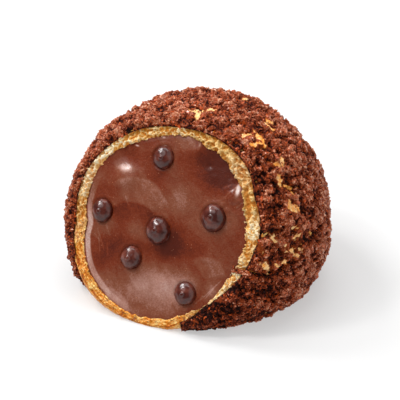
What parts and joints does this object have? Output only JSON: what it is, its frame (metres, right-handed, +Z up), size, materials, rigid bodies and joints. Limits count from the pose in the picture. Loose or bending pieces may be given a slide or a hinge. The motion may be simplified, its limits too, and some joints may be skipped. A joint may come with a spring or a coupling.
{
  "type": "cream puff",
  "caption": "Choux bun with a cocoa biscuit crust, sliced open on a slant to show its chocolate cream and chocolate drops.",
  "frame": {"origin": "middle of the bun's flat base, on the axis of the whole, unsliced bun", "axes": "+Z up, the bun stands on the XY plane; the sliced face looks towards -Y and leans back by 27 degrees; +X is to the right for someone facing the slice"},
  "size_m": [0.0722, 0.0711, 0.0497],
  "materials": {
    "choux_pastry": "porous baked choux pastry, pale cream where it is cut and golden at the base",
    "cocoa_crust": "coarse matt cocoa biscuit crumb",
    "chocolate_cream": "soft gloss, smooth with faint smears",
    "dark_chocolate": "satin dark chocolate with a faint bloom"
  },
  "bodies": {
    "root": {"choux_shell": "choux_pastry", "craquelin_crust": "cocoa_crust", "cream_filling": "chocolate_cream", "chocolate_drop_1": "dark_chocolate", "chocolate_drop_2": "dark_chocolate", "chocolate_drop_3": "dark_chocolate", "chocolate_drop_4": "dark_chocolate", "chocolate_drop_5": "dark_chocolate", "chocolate_drop_6": "dark_chocolate"}
  },
  "joints": []
}
